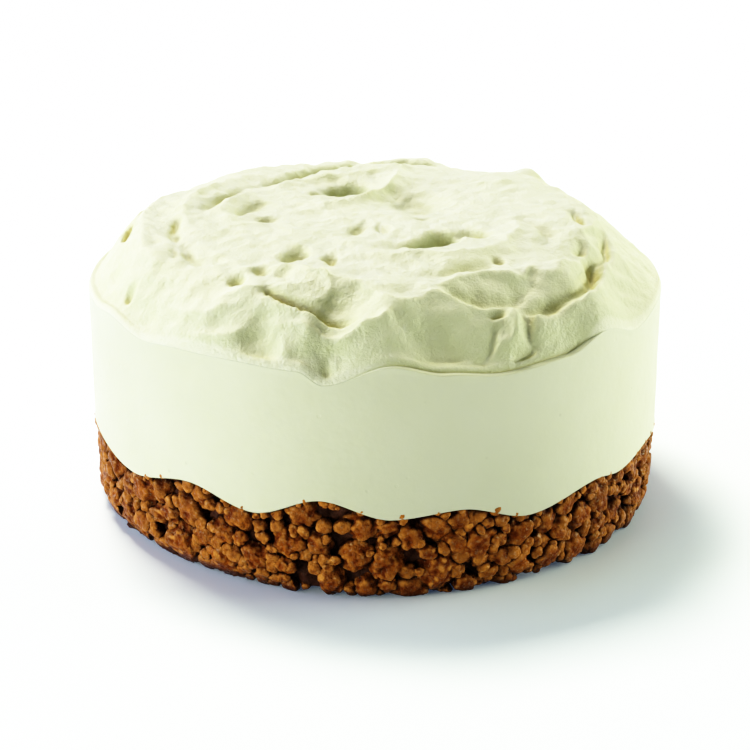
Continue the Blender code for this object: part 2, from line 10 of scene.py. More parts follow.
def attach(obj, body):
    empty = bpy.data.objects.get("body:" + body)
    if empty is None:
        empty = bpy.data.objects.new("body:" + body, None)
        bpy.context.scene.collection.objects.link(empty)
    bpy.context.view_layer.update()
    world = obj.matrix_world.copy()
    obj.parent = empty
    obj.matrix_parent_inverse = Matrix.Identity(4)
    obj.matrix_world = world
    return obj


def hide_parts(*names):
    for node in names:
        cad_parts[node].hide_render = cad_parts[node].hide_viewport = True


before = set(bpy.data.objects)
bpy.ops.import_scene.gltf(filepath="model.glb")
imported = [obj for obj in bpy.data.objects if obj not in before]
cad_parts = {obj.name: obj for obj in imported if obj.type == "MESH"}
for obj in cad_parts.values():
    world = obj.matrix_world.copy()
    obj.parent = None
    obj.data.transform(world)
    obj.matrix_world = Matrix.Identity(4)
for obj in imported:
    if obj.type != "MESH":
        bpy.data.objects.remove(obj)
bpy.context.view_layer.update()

# Looks of a small round cheesecake: a crumb base of separate baked crumbs over a dark
# core, a smooth cream filling and a spooned whipped topping. Lengths are in millimetres
# until a vertex is made. Angles are in degrees, 0 to the right, 270 to the front.
MM = 0.001
CAKE_RADIUS = 40.0
GAP = 0.3

# Crumb base
CORE_RADIUS = 37.9
BASE_LEVEL = 11.4
BASE_BLEND_INNER = 31.0
BASE_BLEND_OUTER = 38.5
BASE_SEED = 14
PRESSED = 0.5
BLUNT_SIDES = 3
# Kinds of crumb: how many, least and largest size, how close two may come for their sizes
CRUMB_KINDS = ((34, 2.6, 3.3, 0.86), (84, 1.8, 2.5, 0.74), (50, 1.2, 1.7, 0.70))
CRUMB_TRIES = 6000
LARGE_OVER = 2.55
MIDDLING_OVER = 1.75
# Crumbs lower than this lean inwards
LEAN_BELOW = 3
# Radius at which the distance between two crumbs is measured
CRUMB_RING = 39
GRAIN_COUNT = 420
GRAIN_SIZES = (0.45, 1.3)
GRAIN_CLOSENESS = 0.52
GRAIN_TRIES = 20000
GRAIN_SEED = 50000
EDGE_COUNT = 90
EDGE_SIZES = (0.35, 0.75)
EDGE_SEED = 60000
# Share of a crumb's reach beyond the cake's side that is taken back
DRAWN_IN = 0.75
FOOT_HEIGHT = 3.2

# Filling
FILLING_LEVEL = 31.3
RIM_BLEND_INNER = 31.0
RIM_BLEND_OUTER = 37.5
RIM_ROUND = 0.2
WALL_AROUND = 720

# Topping
TOPPING_RADIUS = 39.6
TOPPING_LEAST = 0.4
WANDER = 0.5
WANDER_LENGTH = 3.6
DIP_SHIFT = 0.7
TOPPING_AROUND = 620
# How high the fine streaks, folds and soft unevenness stand
STREAK_HEIGHT = 0.05
FOLD_HEIGHT = 0.20
UNEVEN_HEIGHTS = ((0.26, 2.1), (0.09, 0.9))
# Lip and underside of the topping: radius beyond its edge, height over the filling's rim
LIP = ((0.24, 0.22), (0.36, -0.1), (0.3, -0.35), (-0.4, -0.35), (RIM_BLEND_OUTER - TOPPING_RADIUS, -0.1),
       (RIM_BLEND_INNER - TOPPING_RADIUS, -0.1))
# How far the lip is drawn in over the darkest part of the bank
LIP_DRAWN_IN = 0.8

# Camera, fitted to the photograph's view
CAMERA_PITCH = 20.67
CAMERA_DISTANCE = 304.0
CAMERA_AIM_HEIGHT = 16.16
CAMERA_FIELD = 20.04

# Softboxes round the cake: name, place and size in metres, power, colour
SOFTBOXES = (
    ("left_softbox", (-0.95, 0.05, 0.30), (0.8, 0.5), 6.9, (0.887, 1.0, 1.42)),
    ("left_low_softbox", (-0.82, -0.56, 0.12), (0.6, 0.22), 9.9, (0.937, 1.0, 0.765)),
    ("front_left_softbox", (-0.80, -0.55, 0.32), (0.6, 0.5), 1.6, (1.01, 1.0, 0.9)),
    ("right_low_softbox", (0.98, 0.14, 0.12), (0.7, 0.22), 14.7, (0.945, 1.0, 0.807)),
    ("right_high_softbox", (0.75, 0.10, 0.65), (0.5, 0.5), 2.9, (0.887, 1.0, 0.741)),
    ("key_softbox", (-0.25, 0.45, 0.90), (0.35, 0.35), 15.8, (1.01, 1.0, 0.81)),
    ("rear_softbox", (0.1, 0.95, 0.55), (0.9, 0.5), 4.2, (0.888, 1.0, 1.33)),
    ("left_rear_softbox", (-0.70, 0.65, 0.35), (0.5, 0.5), 1.35, (1.07, 1.0, 1.19)),
)
LIGHT_AIM = (0, 0, 0.02)
FLOOR_SIZE = 6
# The floor's faint blue glow is painted light that lifts and blues its shadows
FLOOR_GLOW = 0.10

# Tones of the picture: light that turns white, how soft bright tones and how deep dark ones are
FILM_WHITE = 2.18
FILM_SHOULDER = 3.0
FILM_TOE = 1.39
FILM_STEPS = 16

# Where the filling's lower edge turns: angle, height
LOWER_TURNS = (
    (195, 12.5), (216, 11.1), (233, 13.3), (247, 11.2), (260, 13.9), (273, 11.5), (286, 12.3),
    (300, 9.9), (317, 11.7), (325, 11.0), (338, 11.8), (352, 10.9),
    (370, 12.1), (388, 10.6), (406, 12.4), (424, 11.0), (440, 12.8), (458, 10.8), (477, 12.5),
    (494, 11.2), (512, 12.8), (532, 11.1),
)
# Where the filling's rim turns: angle, height
RIM_TURNS = (
    (200, 31.5), (209, 32.1), (221, 31.0), (231, 31.6), (243, 31.7), (256, 31.3), (260.5, 29.7),
    (273, 32.2), (283, 30.8), (294, 30.0), (308, 30.6), (318.5, 32.5), (330, 30.4), (345, 31.4),
    (366, 31.2), (386, 30.8), (408, 31.5), (430, 30.7), (452, 31.4), (478, 30.8), (500, 31.8),
    (528, 31.2),
)
# Height of the topping over the filling's rim at a distance in from its edge
FRONT_BANK = ((0, 0.5), (0.4, 1.2), (1.5, 2.4), (3.5, 4.5), (6, 6.5), (9, 7.9), (13, 8.6), (19, 9.0),
              (40, 9.3))
LEFT_BANK = ((0, 0.3), (0.8, 0.5), (1.5, 1.7), (3.0, 4.2), (4.6, 6.2), (6.6, 7.5), (10, 8.1), (15, 8.7),
             (40, 9.3))
RIGHT_BANK = ((0, 0.4), (1.5, 1.9), (3.5, 3.8), (6.5, 6.5), (10.5, 9.2), (15, 9.6), (22, 9.4), (40, 9.3))

# Crests left by the spoon: places along each as angle, radius, height, then
# the width of its inner and outer side, and how sharp it is
CRESTS = (
    # outer swirl, front and right
    (((298, 35.0, 0.0), (301, 36.0, 1.0), (306, 36.5, 1.15), (311, 37.0, 1.2), (316, 37.3, 1.3),
      (321, 36.8, 1.5), (327, 35.7, 1.6), (333, 34.5, 1.5), (340, 33.5, 1.1), (346, 32.6, 0.8),
      (354, 31.8, 0.0)), 0.9, 2.4, 1.0),
    # front edge of the top, left of it
    (((256, 28.0, 0.2), (262, 28.6, 0.6), (267, 29.6, 0.7), (271, 32.0, 0.9), (276, 33.8, 1.0),
      (280, 32.8, 1.0), (283, 32.0, 1.0), (287, 33.2, 1.1), (292, 34.2, 1.0), (297, 34.7, 1.0),
      (300, 35.4, 0.5), (302, 36.0, 0.0)), 1.4, 1.3, 1.0),
    # spur running down the bank
    (((299.5, 35.2, 0.4), (299, 36.4, 1.1), (298, 37.6, 1.1), (296, 38.8, 0.3)), 0.7, 0.7, 1.4),
    # inner wavy crest
    (((282, 31.4, 0.0), (286, 30.6, 0.7), (293, 29.5, 1.0), (300, 29.8, 1.0), (304, 30.5, 1.0),
      (307, 31.0, 0.7), (311, 30.5, 0.8), (313, 32.2, 0.8), (316, 32.8, 0.6), (321, 32.0, 0.8),
      (327, 32.0, 0.7), (332, 31.7, 0.9), (337, 30.9, 0.9), (343, 29.8, 0.9), (351, 30.4, 0.8),
      (360, 31.2, 0.5), (368, 31.5, 0.0)), 2.0, 0.8, 1.0),
    # long arc across the top, in front of the large hole
    (((258, 20.0, 0.0), (268, 20.2, 0.6), (276, 21.0, 0.9), (284, 20.4, 1.0), (293, 22.6, 1.1),
      (300, 23.4, 1.1), (312, 23.1, 1.0), (324, 22.6, 0.9), (336, 21.0, 0.6), (347, 18.5, 0.0)),
     2.2, 1.2, 1.05),
    # ridge between the large hole and the one beside it
    (((312, 19.4, 0.2), (314, 16.5, 0.7), (318, 13.6, 0.5), (322, 10.0, 0.0)), 0.8, 0.8, 1.6),
    # rear arcs
    (((152, 18.2, 0.0), (138, 18.2, 0.8), (118, 18.0, 1.2), (98, 17.8, 1.3), (88, 19.4, 1.3),
      (81, 22.6, 1.0), (76, 26.5, 0.5), (72, 30.0, 0.0)), 1.4, 1.4, 1.05),
    (((80, 22.0, 0.2), (79, 14.5, 1.4), (82, 9.6, 1.5), (97, 6.0, 1.6), (122, 4.6, 1.4),
      (150, 5.4, 1.1), (161, 8.8, 0.8), (160, 13.0, 0.5), (163, 17.0, 0.0)), 1.3, 1.7, 1.05),
    # peaks at the rear
    (((92, 31.0, 0.0), (84, 33.2, 1.5), (77, 33.8, 2.3), (70, 33.4, 1.0), (62, 32.6, 0.0)),
     2.4, 2.4, 1.5),
    (((58, 35.2, 0.0), (51, 34.4, 1.6), (46, 34.0, 2.6), (40, 33.6, 1.15), (30, 33.4, 0.0)),
     2.4, 2.2, 1.15),
    (((142, 31.0, 0.0), (124, 31.2, 0.9), (108, 32.4, 1.0), (96, 33.2, 1.0), (88, 33.6, 0.0)),
     1.8, 2.2, 1.15),
    # left
    (((208, 25.0, 0.0), (192, 26.0, 0.7), (178, 26.8, 1.1), (164, 27.2, 1.2), (150, 26.8, 1.1),
      (138, 27.4, 0.6), (126, 27.4, 0.0)), 1.6, 1.8, 1.1),
    (((206, 17.5, 0.0), (190, 20.6, 0.7), (176, 21.6, 0.9), (162, 20.6, 0.8), (148, 20.6, 0.0)),
     1.5, 1.5, 1.05),
    (((216, 34.0, 0.0), (204, 34.0, 0.7), (190, 32.6, 0.9), (176, 32.2, 0.9), (162, 32.0, 0.8),
      (148, 32.4, 0.0)), 2.2, 1.5, 1.15),
    # folds above and below the row of pits at the front left
    (((224, 29.4, 0.0), (232, 29.4, 0.4), (238, 28.6, 0.6), (243, 26.9, 0.9), (248, 26.8, 1.0),
      (253, 28.0, 1.05), (257, 28.2, 1.15), (259.5, 29.8, 1.05), (259.5, 31.6, 1.1), (257, 32.8, 0.5)),
     1.6, 0.9, 1.0),
    (((226, 35.8, 0.0), (234, 35.6, 0.6), (238, 34.7, 0.9), (241, 33.4, 1.0), (246, 31.9, 1.0),
      (251, 31.0, 0.6), (255, 30.6, 0.0)), 0.9, 1.4, 1.05),
    # lip under the crack, and the fold below it that climbs to the right
    (((243, 33.8, 0.2), (247, 34.2, 1.0), (251, 34.7, 1.0), (255, 35.1, 1.1), (259, 35.4, 1.0),
      (262, 35.6, 1.0), (265, 35.8, 0.9), (268, 35.9, 0.6), (270, 35.9, 0.0)), 0.5, 0.9, 1.05),
    (((246, 36.3, 0.0), (250, 36.3, 0.7), (254.5, 36.4, 1.1), (259.5, 36.9, 1.2), (263.5, 37.3, 1.5),
      (266, 36.8, 1.6), (269, 36.2, 1.5), (271, 35.8, 1.2), (272.5, 35.2, 0.8), (273.5, 34.8, 0.0)),
     0.8, 1.3, 1.0),
    (((228, 38.9, 0.0), (235, 39.0, 0.7), (240, 38.8, 1.0), (243, 37.8, 0.7), (246, 36.8, 0.0)),
     0.9, 0.9, 1.05),
    (((218, 36.8, 0.0), (228, 37.2, 0.6), (236, 36.7, 0.8), (240, 35.6, 0.5), (242.5, 34.6, 0.0)),
     0.9, 1.0, 1.05),
    # small ridges on the bank at the front left
    (((251.5, 36.6, 0.0), (252, 37.6, 0.7), (253, 38.6, 0.7), (253.5, 39.3, 0.2)), 0.6, 0.6, 1.4),
    (((256, 37.0, 0.0), (258, 37.4, 0.5), (260.5, 37.6, 0.4), (262, 37.5, 0.0)), 0.6, 0.6, 1.4),
)
# Grooves and cracks, written like the crests with depths. They and the hollows are made
# a little nearer the front than the places listed.
GROOVES = (
    (((301, 33.6, 0.0), (307, 34.6, 0.9), (313, 35.1, 1.2), (319, 35.2, 1.4), (323, 34.6, 1.6),
      (327, 33.8, 1.9), (331, 32.8, 1.8), (335, 32.6, 0.8), (339, 33.2, 1.1), (343, 32.7, 1.5),
      (347, 32.1, 1.3), (352, 31.4, 0.0)), 0.9, 0.8, 1.7),
    (((284, 30.6, 0.0), (290, 32.0, 0.8), (296, 32.4, 1.0), (302, 32.6, 0.9), (307, 32.2, 0.6),
      (311, 31.8, 0.0)), 1.2, 0.8, 1.8),
    (((280, 26.6, 0.0), (287, 26.6, 0.6), (294, 26.4, 0.8), (301, 26.2, 0.7), (306, 25.9, 0.0)),
     1.1, 1.1, 2.0),
    (((350, 19.5, 0.0), (345, 21.5, 0.6), (341, 23.6, 0.8), (334, 25.8, 0.7), (327, 27.0, 0.0)),
     0.9, 0.9, 2.0),
    (((363, 27.4, 0.0), (355.5, 27.8, 1.3), (350.5, 28.2, 1.0), (346, 29.2, 0.0)), 0.6, 0.6, 1.8),
    (((338, 29.7, 0.0), (335, 30.2, 0.8), (333, 30.6, 1.0), (329, 30.6, 0.0)), 0.6, 0.6, 1.8),
    (((296, 35.2, 0.0), (295, 35.8, 0.8), (293, 37.0, 0.8), (292, 37.7, 0.4), (290, 38.6, 0.0)),
     0.6, 0.6, 1.8),
    (((304, 34.9, 0.2), (303, 35.5, 1.2), (302, 36.3, 1.5), (301.5, 37.1, 1.5), (301.5, 37.8, 1.3),
      (298.5, 38.6, 1.2), (296.5, 39.1, 0.2)), 0.9, 0.9, 1.8),
    (((142, 24.6, 0.0), (128, 23.6, 1.4), (118, 25.0, 2.2), (107, 28.6, 2.4), (98, 30.2, 1.4),
      (90, 31.0, 0.0)), 1.5, 1.1, 1.8),
    (((86, 31.6, 0.0), (79, 31.2, 1.8), (72, 31.2, 0.0)), 1.3, 1.3, 2.0),
    (((176, 24.4, 0.0), (164, 23.5, 1.4), (152, 22.9, 1.6), (140, 24.8, 0.0)), 1.1, 0.9, 1.8),
    (((184, 19.4, 0.0), (174, 18.4, 1.1), (164, 17.3, 0.9), (158, 16.8, 0.0)), 0.8, 0.8, 1.8),
    (((170, 33.6, 0.0), (163, 34.0, 2.2), (154, 34.2, 2.0), (148, 34.0, 0.0)), 0.6, 0.6, 1.8),
    (((189, 34.6, 0.0), (181, 34.6, 2.2), (173, 34.8, 2.0), (167, 35.2, 0.0)), 0.6, 0.6, 1.8),
    (((203, 37.0, 0.0), (197, 36.4, 0.9), (191, 35.6, 0.0)), 0.7, 0.7, 1.8),
    (((182, 27.4, 0.0), (187, 27.6, 0.9), (198, 28.6, 0.8), (204, 29.2, 0.2), (209, 30.6, 0.7),
      (212, 31.4, 0.0)), 0.6, 0.6, 1.8),
    (((203, 27.6, 0.0), (208, 28.4, 0.7), (216, 29.6, 0.8), (224, 30.0, 0.0)), 0.8, 0.8, 1.8),
    (((243, 31.2, 0.2), (245.5, 32.1, 1.7), (249, 32.8, 1.7), (253.5, 33.4, 1.4), (258, 33.9, 1.2),
      (262.5, 34.4, 1.0), (266, 34.8, 0.0)), 0.8, 0.5, 1.6),
    (((256, 37.4, 0.0), (260, 37.3, 0.5), (263.5, 37.8, 0.5), (263, 39.2, 0.3)), 0.6, 0.6, 1.8),
    (((260.5, 37.4, 0.0), (261, 38.1, 0.8), (261.5, 38.8, 0.9), (261.5, 39.4, 0.4)), 0.6, 0.6, 1.8),
)
# Hollows: angle, radius, half length round the cake, half width, depth, turn, steepness
HOLLOWS = (
    (305, 15.0, 3.4, 2.2, 4.0, 12, 2.8),
    (287, 14.6, 4.2, 1.3, 1.0, 6, 2.0),
    (323, 16.6, 1.1, 2.0, 1.3, -10, 2.4),
    (308.5, 25.6, 0.7, 0.9, 1.0, 0, 2.4),
    (297, 34.2, 1.3, 0.45, 1.3, 0, 2.4),
    (283, 36.7, 5.0, 2.2, 2.2, -6, 2.6),
    (109, 12.6, 2.6, 2.0, 4.0, 0, 2.8),
    (131, 12.8, 0.9, 0.7, 0.9, 0, 2.2),
    (44, 7.9, 5.0, 3.4, 2.0, -24, 2.2),
    (339, 6.7, 0.8, 1.2, 0.5, 0, 2.2),
    (252, 6.6, 0.9, 3.0, 1.1, 0, 2.2),
    (279, 7.0, 0.8, 2.2, 0.6, 0, 2.2),
    (239.5, 20.8, 1.6, 2.4, 2.0, 12, 2.6),
    (254, 21.0, 0.8, 1.9, 1.5, 10, 2.4),
    (238.5, 27.6, 0.9, 1.2, 1.4, 8, 2.4),
    (235, 30.8, 0.9, 0.9, 1.2, 20, 2.4),
    (245, 27.9, 1.0, 1.0, 0.45, 0, 2.2),
    (210, 37.0, 0.8, 0.8, 1.4, 0, 2.4),
    (188, 14.8, 1.0, 1.1, 1.0, 0, 2.2),
    (264, 31.4, 4.2, 1.9, 1.0, 8, 2.2),
    (256, 38.2, 1.6, 0.8, 0.6, 0, 2.2),
    (248.5, 37.2, 2.8, 2.0, 1.3, 0, 3.0),
    (324, 30.0, 4.6, 1.2, 0.5, 0, 2.0),
    (90, 31.0, 1.6, 0.7, 0.9, 0, 2.0),
)
LUMP_SEED = 5
LUMP_COUNT = 150


def heights_around(turns, angles):
    """Heights at some angles, eased from one turning point to the next."""
    first = turns[0][0]
    places = np.array([turn[0] for turn in turns] + [first + 360], float)
    heights = np.array([turn[1] for turn in turns] + [turns[0][1]], float)
    angle = (np.asarray(angles, float) - first) % 360 + first
    after = np.clip(np.searchsorted(places, angle, side="right"), 1, len(places) - 1)
    share = (angle - places[after - 1]) / (places[after] - places[after - 1])
    ease = share * share * (3 - 2 * share)
    return heights[after - 1] + (heights[after] - heights[after - 1]) * ease


def eased(low, high, value):
    """0 below the low end, 1 above the high end, smooth between."""
    share = np.clip((value - low) / (high - low), 0, 1)
    return share * share * (3 - 2 * share)


def base_top(angles, radii):
    """Underside of the filling."""
    lower = heights_around(LOWER_TURNS, angles)
    return BASE_LEVEL + (lower - BASE_LEVEL) * eased(BASE_BLEND_INNER, BASE_BLEND_OUTER, radii)


def filling_top(angles, radii):
    """Top of the filling, where the topping sits."""
    rim = heights_around(RIM_TURNS, angles)
    return FILLING_LEVEL + (rim - FILLING_LEVEL) * eased(RIM_BLEND_INNER, RIM_BLEND_OUTER, radii)


def bank_height(bank, inward):
    """Height of a bank at distances in from the topping's edge, with its corners eased."""
    steps = np.arange(-4.0, 46.0, 0.1)
    heights = np.interp(steps, [place for place, rise in bank], [rise for place, rise in bank])
    soft = np.ones(13) / 13
    for _ in range(2):
        heights = np.convolve(np.pad(heights, 6, mode="edge"), soft, mode="valid")
    return np.interp(inward, steps, heights)


def dome(angles, radii):
    """Smooth body of the topping before the spoon's marks."""
    inward = TOPPING_RADIUS - radii
    left = eased(150, 165, angles) * (1 - eased(205, 232, angles))
    right = eased(-45, -20, (angles + 180) % 360 - 180) * (1 - eased(38, 60, (angles + 180) % 360 - 180))
    front = 1 - left - right
    rise = front * bank_height(FRONT_BANK, inward)
    rise = rise + left * bank_height(LEFT_BANK, inward) + right * bank_height(RIGHT_BANK, inward)
    rim = heights_around(RIM_TURNS, angles)
    level = FILLING_LEVEL + (rim - FILLING_LEVEL) * eased(24, 39, radii)
    return level + rise


def polar(angle, radius):
    """A point in plan."""
    return np.array((radius * math.cos(math.radians(angle)), radius * math.sin(math.radians(angle))))


def curved_path(places):
    """Points and heights along a smooth line through places given as angle, radius, height."""
    rows = np.array(places, float)
    rows = np.vstack((2 * rows[0] - rows[1], rows, 2 * rows[-1] - rows[-2]))
    line = []
    for a, b, c, d in zip(rows, rows[1:], rows[2:], rows[3:]):
        for share in np.arange(0, 1, 1 / 6):
            line.append(0.5 * (2 * b + (c - a) * share + (2 * a - 5 * b + 4 * c - d) * share ** 2
                               + (3 * b - a - 3 * c + d) * share ** 3))
    line = np.array(line + [rows[-2]])
    points = np.column_stack((line[:, 1] * np.cos(np.radians(line[:, 0])),
                              line[:, 1] * np.sin(np.radians(line[:, 0]))))
    return points, np.maximum(line[:, 2], 0)


def along_path(points, places, inner, outer, power):
    """Height of a crest at some points in plan. Its inner side is the one nearer the middle."""
    path, heights = curved_path(places)
    nearest = np.full(len(points), 1e9)
    height = np.zeros(len(points))
    width = np.full(len(points), float(outer))
    for a, b, low, high in zip(path, path[1:], heights, heights[1:]):
        step = b - a
        offset = points - a
        share = np.clip(offset @ step / max(step @ step, 1e-9), 0, 1)
        away = offset - share[:, None] * step
        distance = np.hypot(away[:, 0], away[:, 1])
        near = distance < nearest
        nearest[near] = distance[near]
        height[near] = (low + (high - low) * share)[near]
        outward = away[:, 0] * (a[0] + b[0]) + away[:, 1] * (a[1] + b[1])
        width[near] = np.where(outward > 0, outer, inner)[near]
    return height * np.exp(-(nearest / width) ** power)


def hollow(points, angle, radius, length, width, depth, turn, steepness):
    """Depth of one oval hollow at some points in plan."""
    heading = math.radians(angle + 90 + turn)
    offset = points - polar(angle, radius)
    lengthwise = offset @ np.array((math.cos(heading), math.sin(heading)))
    crosswise = offset @ np.array((-math.sin(heading), math.cos(heading)))
    return -depth * np.exp(-np.hypot(lengthwise / length, crosswise / width) ** steepness)


def lumps(points):
    """Broad soft unevenness over the whole topping."""
    draw = random.Random(LUMP_SEED)
    total = np.zeros(len(points))
    for _ in range(LUMP_COUNT):
        place = polar(draw.uniform(0, 360), 39 * math.sqrt(draw.random()))
        size = draw.uniform(1.6, 4.2)
        rise = draw.uniform(-0.22, 0.26) * size / 3
        offset = points - place
        total += rise * np.exp(-(np.hypot(offset[:, 0], offset[:, 1]) / size) ** 2)
    return total


def noise_at(points, scale, seed=0.0):
    """Soft noise from -1 to 1 at points in millimetres."""
    shift = Vector((seed, seed * 1.7, seed * 0.6))
    return np.array([noise.noise(Vector(point) / scale + shift) for point in points])


def wandered(points):
    """Points in plan shifted by noise, so that the marks made at them run unevenly."""
    flat = np.column_stack((points, np.zeros(len(points))))
    shifts = []
    for seed in (11.3, 23.9):
        broad = WANDER * noise_at(flat, WANDER_LENGTH, seed)
        narrow = 0.45 * WANDER * noise_at(flat, 0.4 * WANDER_LENGTH, seed)
        shifts.append(broad + narrow)
    return points + np.column_stack(shifts)


def topping_top(points):
    """Height of the topping at points in plan."""
    radii = np.hypot(points[:, 0], points[:, 1])
    angles = np.degrees(np.arctan2(points[:, 1], points[:, 0])) % 360
    marks = lumps(points)
    marked = wandered(points)
    for places, inner, outer, power in CRESTS:
        marks += along_path(marked, places, inner, outer, power)
    dipped = marked + np.array((0, DIP_SHIFT))
    for places, inner, outer, power in GROOVES:
        marks -= along_path(dipped, places, inner, outer, power)
    for place in HOLLOWS:
        marks += hollow(dipped, *place)
    marks *= 1 - 0.8 * eased(TOPPING_RADIUS - 0.6, TOPPING_RADIUS, radii)
    least = filling_top(angles, radii) + GAP + TOPPING_LEAST
    return np.maximum(dome(angles, radii) + marks, least)


def new_mesh(name, vertices, faces):
    """A smooth mesh object from an array of vertices in millimetres."""
    mesh = bpy.data.meshes.new(name)
    mesh.from_pydata(np.asarray(vertices, float) * MM, [], faces)
    mesh.polygons.foreach_set("use_smooth", [True] * len(mesh.polygons))
    mesh.update()
    thing = bpy.data.objects.new(name, mesh)
    bpy.context.scene.collection.objects.link(thing)
    return thing


def ring_faces(first, count, rings):
    """Quads between rings of vertices that are listed one after another."""
    low = first + np.arange(rings - 1)[:, None] * count + np.arange(count)[None, :]
    following = first + np.arange(rings - 1)[:, None] * count + (np.arange(count)[None, :] + 1) % count
    quads = np.stack((low, following, following + count, low + count), axis=-1)
    return quads.reshape(-1, 4).tolist()


def around(angles, reach, height):
    """Points at angles, each at one reach and height or at arrays of them."""
    turns = np.radians(angles)
    heights = np.broadcast_to(height, len(angles))
    return np.column_stack((reach * np.cos(turns), reach * np.sin(turns), heights))


def turned_body(angles, radii, heights):
    """Vertices and faces of rings, each of one radius or an array of them, closed by flat faces."""
    count = len(angles)
    rings = []
    for radius, height in zip(radii, heights):
        rings.append(around(angles, radius, height))
    faces = ring_faces(0, count, len(rings))
    faces.append(list(range(count))[::-1])
    faces.append([(len(rings) - 1) * count + i for i in range(count)])
    return np.vstack(rings), faces


# Materials


class Looks:
    """A Principled material with helpers for its procedural detail."""

    def __init__(self, name, roughness):
        self.material = bpy.data.materials.new(name)
        self.material.use_nodes = True
        self.tree = self.material.node_tree
        self.shader = self.tree.nodes["Principled BSDF"]
        self.shader.inputs["Roughness"].default_value = roughness
        self.place = self.tree.nodes.new("ShaderNodeTexCoord").outputs["Object"]

    def link(self, source, target):
        """Joins an output to an input."""
        self.tree.links.new(source, target)

    def noise(self, size_mm, detail=4.0, roughness=0.55):
        """Noise whose largest features are about a size in millimetres."""
        node = self.tree.nodes.new("ShaderNodeTexNoise")
        node.inputs["Scale"].default_value = 1 / (size_mm * MM)
        node.inputs["Detail"].default_value = detail
        node.inputs["Roughness"].default_value = roughness
        self.link(self.place, node.inputs["Vector"])
        return node.outputs["Fac"]

    def cells(self, size_mm):
        """A node with the distance to the middle of the nearest cell, and the cell's own colour."""
        node = self.tree.nodes.new("ShaderNodeTexVoronoi")
        node.inputs["Scale"].default_value = 1 / (size_mm * MM)
        self.link(self.place, node.inputs["Vector"])
        return node

    def ramp(self, source, low, high, start=0.0, end=1.0):
        """Maps a range of a value to another, clamped."""
        node = self.tree.nodes.new("ShaderNodeMapRange")
        for name, value in (("From Min", low), ("From Max", high), ("To Min", start), ("To Max", end)):
            node.inputs[name].default_value = value
        self.link(source, node.inputs["Value"])
        return node.outputs["Result"]

    def sum(self, first, second, second_share=1.0):
        """One value plus a share of another."""
        node = self.tree.nodes.new("ShaderNodeMath")
        node.operation = "MULTIPLY_ADD"
        self.link(second, node.inputs[0])
        node.inputs[1].default_value = second_share
        self.link(first, node.inputs[2])
        return node.outputs["Value"]

    def times(self, first, second):
        """One value times another."""
        node = self.tree.nodes.new("ShaderNodeMath")
        node.operation = "MULTIPLY"
        self.link(first, node.inputs[0])
        self.link(second, node.inputs[1])
        return node.outputs["Value"]

    def mix(self, share, first, second):
        """Colour between two, each an output or three numbers."""
        node = self.tree.nodes.new("ShaderNodeMix")
        node.data_type = "RGBA"
        self.link(share, node.inputs["Factor"])
        for colour, socket in ((first, node.inputs[6]), (second, node.inputs[7])):
            if isinstance(colour, tuple):
                socket.default_value = (*colour, 1)
            else:
                self.link(colour, socket)
        return node.outputs[2]

    def hidden(self, reach_mm, low, high):
        """1 deep in a crevice, 0 in the open."""
        node = self.tree.nodes.new("ShaderNodeAmbientOcclusion")
        node.samples = 6
        node.inputs["Distance"].default_value = reach_mm * MM
        return self.ramp(node.outputs["AO"], low, high, 1.0, 0.0)

    def steep(self, gentle, sheer):
        """0 where the surface faces up, 1 on a steep flank."""
        parts = self.tree.nodes.new("ShaderNodeSeparateXYZ")
        self.link(self.tree.nodes.new("ShaderNodeNewGeometry").outputs["Normal"], parts.inputs["Vector"])
        return self.ramp(parts.outputs["Z"], sheer, gentle, 1.0, 0.0)

    def within(self, outer_mm, inner_mm):
        """1 nearer the cake's axis than a radius, 0 beyond another."""
        flat = self.tree.nodes.new("ShaderNodeVectorMath")
        flat.operation = "MULTIPLY"
        self.link(self.place, flat.inputs[0])
        flat.inputs[1].default_value = (1, 1, 0)
        length = self.tree.nodes.new("ShaderNodeVectorMath")
        length.operation = "LENGTH"
        self.link(flat.outputs["Vector"], length.inputs[0])
        return self.ramp(length.outputs["Value"], inner_mm * MM, outer_mm * MM, 1.0, 0.0)

    def colour(self, source):
        """Takes a colour as the material's own."""
        self.link(source, self.shader.inputs["Base Color"])

    def bump(self, source, depth_mm, strength=1.0):
        """Fine relief too small for the mesh."""
        node = self.tree.nodes.new("ShaderNodeBump")
        node.inputs["Distance"].default_value = depth_mm * MM
        node.inputs["Strength"].default_value = strength
        self.link(source, node.inputs["Height"])
        self.link(node.outputs["Normal"], self.shader.inputs["Normal"])

    def subsurface(self, weight, radius_mm):
        """Light that spreads a little inside the cream."""
        self.shader.subsurface_method = "RANDOM_WALK"
        self.shader.inputs["Subsurface Weight"].default_value = weight
        self.shader.inputs["Subsurface Radius"].default_value = radius_mm
        self.shader.inputs["Subsurface Scale"].default_value = MM


def filling_look():
    """Smooth cream with a few sunken pits, painted darker as shade in them."""
    look = Looks("filling_cream", 0.46)
    look.shader.inputs["Specular IOR Level"].default_value = 0.45
    cloud = look.noise(14, 3)
    tone = look.mix(look.ramp(cloud, 0.35, 0.7), (0.489, 0.494, 0.357), (0.513, 0.517, 0.388))
    pits = look.cells(3.4)
    shaded_pit = look.ramp(pits.outputs["Distance"], 0.05, 0.085, 1.0, 0.0)
    patches = look.ramp(look.noise(9, 2), 0.50, 0.56, 0.0, 0.45)
    # Painted shade: a darker colour in the sunken pits
    look.colour(look.mix(look.times(shaded_pit, patches), tone, (0.40, 0.398, 0.29)))
    skin = look.sum(look.noise(1.1, 5), shaded_pit, -0.5)
    look.bump(skin, 0.05, 0.8)
    look.subsurface(0.18, (1.6, 1.6, 0.7))
    return look.material


